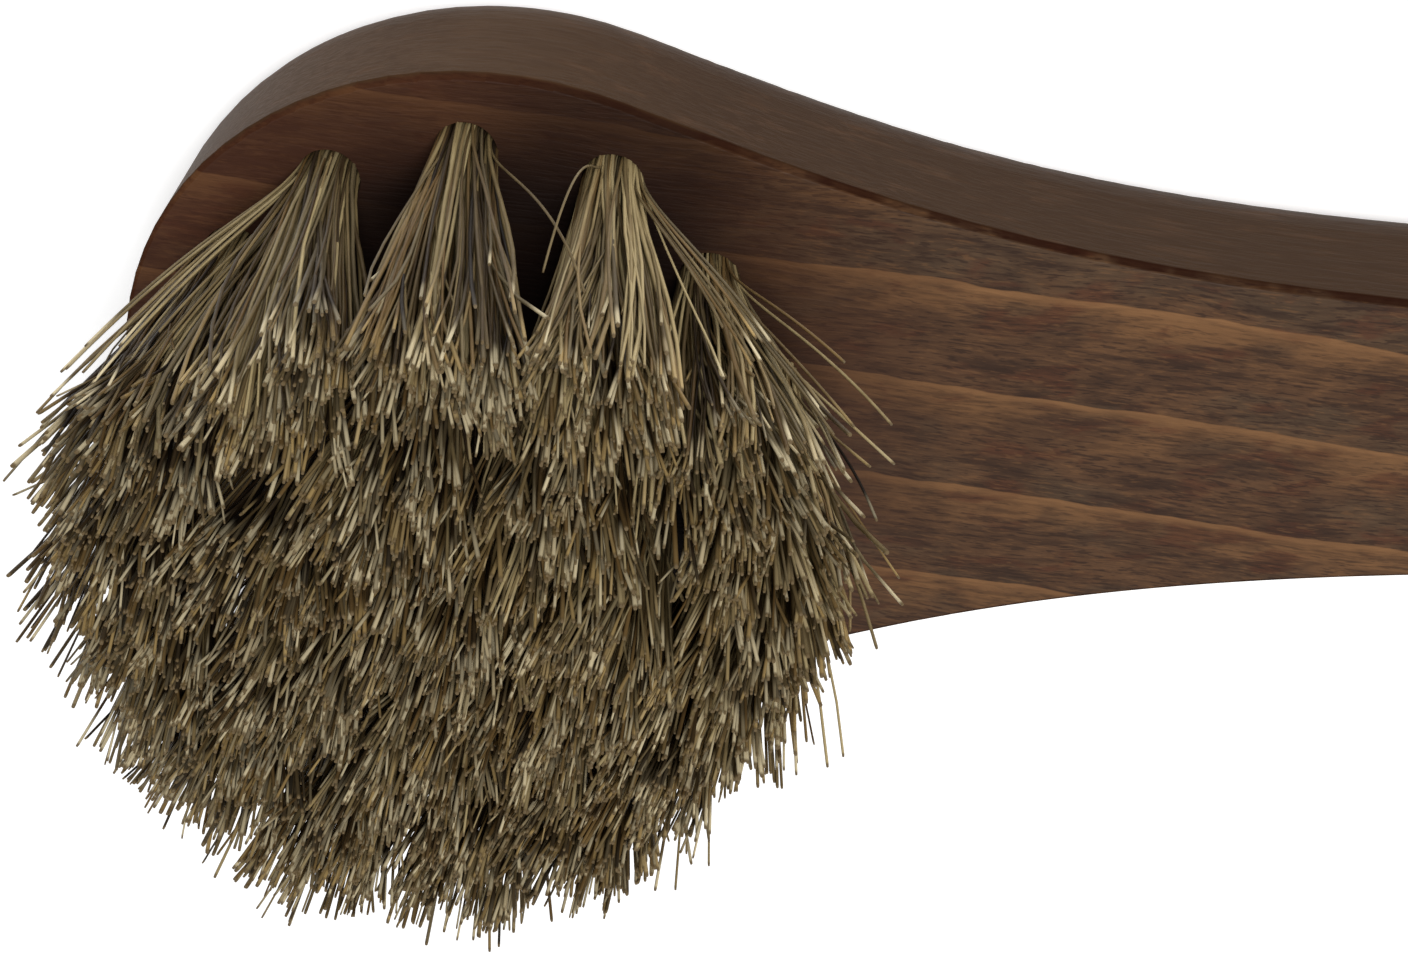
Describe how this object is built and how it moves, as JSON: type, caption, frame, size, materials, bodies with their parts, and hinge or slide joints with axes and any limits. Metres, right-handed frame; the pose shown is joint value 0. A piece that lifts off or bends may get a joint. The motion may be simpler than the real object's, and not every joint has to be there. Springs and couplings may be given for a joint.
{
  "type": "round-headed dry brush",
  "caption": "Small dry brush: flat wooden paddle with a round head, a rounded back and blind holes, set with fanned horsehair tufts held by flat-wire anchors.",
  "frame": {"origin": "centre of the round head, on the flat back of the block", "axes": "+Z the way the hair points, +X along the handle away from the head, +Y to the left seen from above"},
  "size_m": [0.167, 0.042, 0.032],
  "materials": {
    "stained_wood": "satin walnut stain",
    "horsehair": "matte mixed horsehair",
    "anchor_wire": "drawn flat wire"
  },
  "bodies": {
    "root": {"block": "stained_wood", "hair_tuft_01": "horsehair", "hair_tuft_02": "horsehair", "hair_tuft_03": "horsehair", "hair_tuft_04": "horsehair", "hair_tuft_05": "horsehair", "hair_tuft_06": "horsehair", "hair_tuft_07": "horsehair", "hair_tuft_08": "horsehair", "hair_tuft_09": "horsehair", "hair_tuft_10": "horsehair", "hair_tuft_11": "horsehair", "hair_tuft_12": "horsehair", "hair_tuft_13": "horsehair", "hair_tuft_14": "horsehair", "hair_tuft_15": "horsehair", "hair_tuft_16": "horsehair", "hair_tuft_17": "horsehair", "hair_tuft_18": "horsehair", "hair_tuft_19": "horsehair", "hair_tuft_20": "horsehair", "hair_tuft_21": "horsehair", "hair_tuft_22": "horsehair", "anchor_01": "anchor_wire", "anchor_02": "anchor_wire", "anchor_03": "anchor_wire", "anchor_04": "anchor_wire", "anchor_05": "anchor_wire", "anchor_06": "anchor_wire", "anchor_07": "anchor_wire", "anchor_08": "anchor_wire", "anchor_09": "anchor_wire", "anchor_10": "anchor_wire", "anchor_11": "anchor_wire", "anchor_12": "anchor_wire", "anchor_13": "anchor_wire", "anchor_14": "anchor_wire", "anchor_15": "anchor_wire", "anchor_16": "anchor_wire", "anchor_17": "anchor_wire", "anchor_18": "anchor_wire", "anchor_19": "anchor_wire", "anchor_20": "anchor_wire", "anchor_21": "anchor_wire", "anchor_22": "anchor_wire"}
  },
  "joints": []
}
